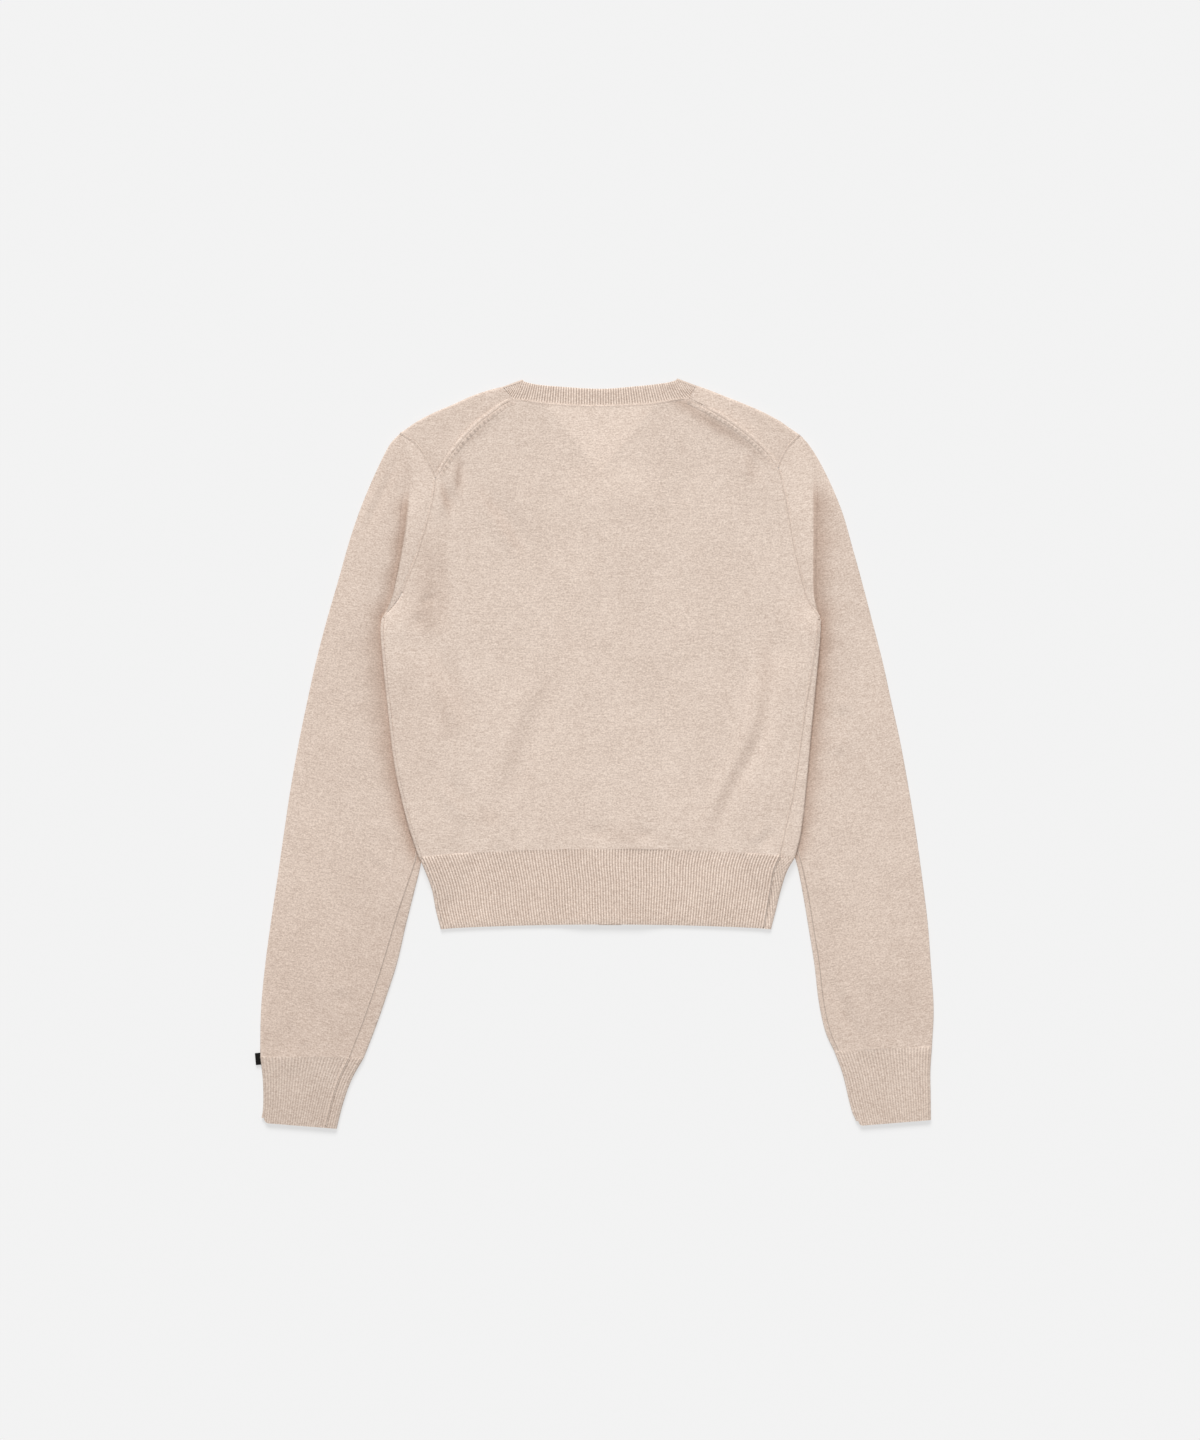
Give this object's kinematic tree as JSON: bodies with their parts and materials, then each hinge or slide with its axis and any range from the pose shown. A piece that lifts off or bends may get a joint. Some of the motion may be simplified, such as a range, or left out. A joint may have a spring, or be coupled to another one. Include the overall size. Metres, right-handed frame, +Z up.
{
  "type": "cardigan",
  "caption": "Cropped fine-knit cardigan with long sleeves, a buttoned V-neck front and ribbed hem, cuffs and neckband, laid flat on its front with its back up.",
  "frame": {"origin": "centre of the bounding box in plan, on the surface the garment lies on", "axes": "+Z up off the surface, out of the garment's back; +Y from the hem towards the neck; +X to the right as seen from above"},
  "size_m": [0.6193, 0.685, 0.0097],
  "materials": {
    "knit": "fine heather-beige jersey knit, matt with a slight nap",
    "rib": "fine one-by-one rib in the same heather-beige yarn",
    "button": "plain satin beige",
    "tag": "plain black woven tape"
  },
  "bodies": {
    "root": {"back": "knit", "front_left": "knit", "front_right": "knit", "sleeve_left": "knit", "sleeve_right": "knit", "cuff_left": "rib", "cuff_right": "rib", "hem_back": "rib", "hem_front_left": "rib", "hem_front_right": "rib", "neckband": "rib", "band_left": "rib", "band_right": "rib", "button_1": "button", "button_2": "button", "button_3": "button", "button_4": "button", "button_5": "button", "button_6": "button", "button_7": "button", "cuff_tag": "tag"}
  },
  "joints": []
}
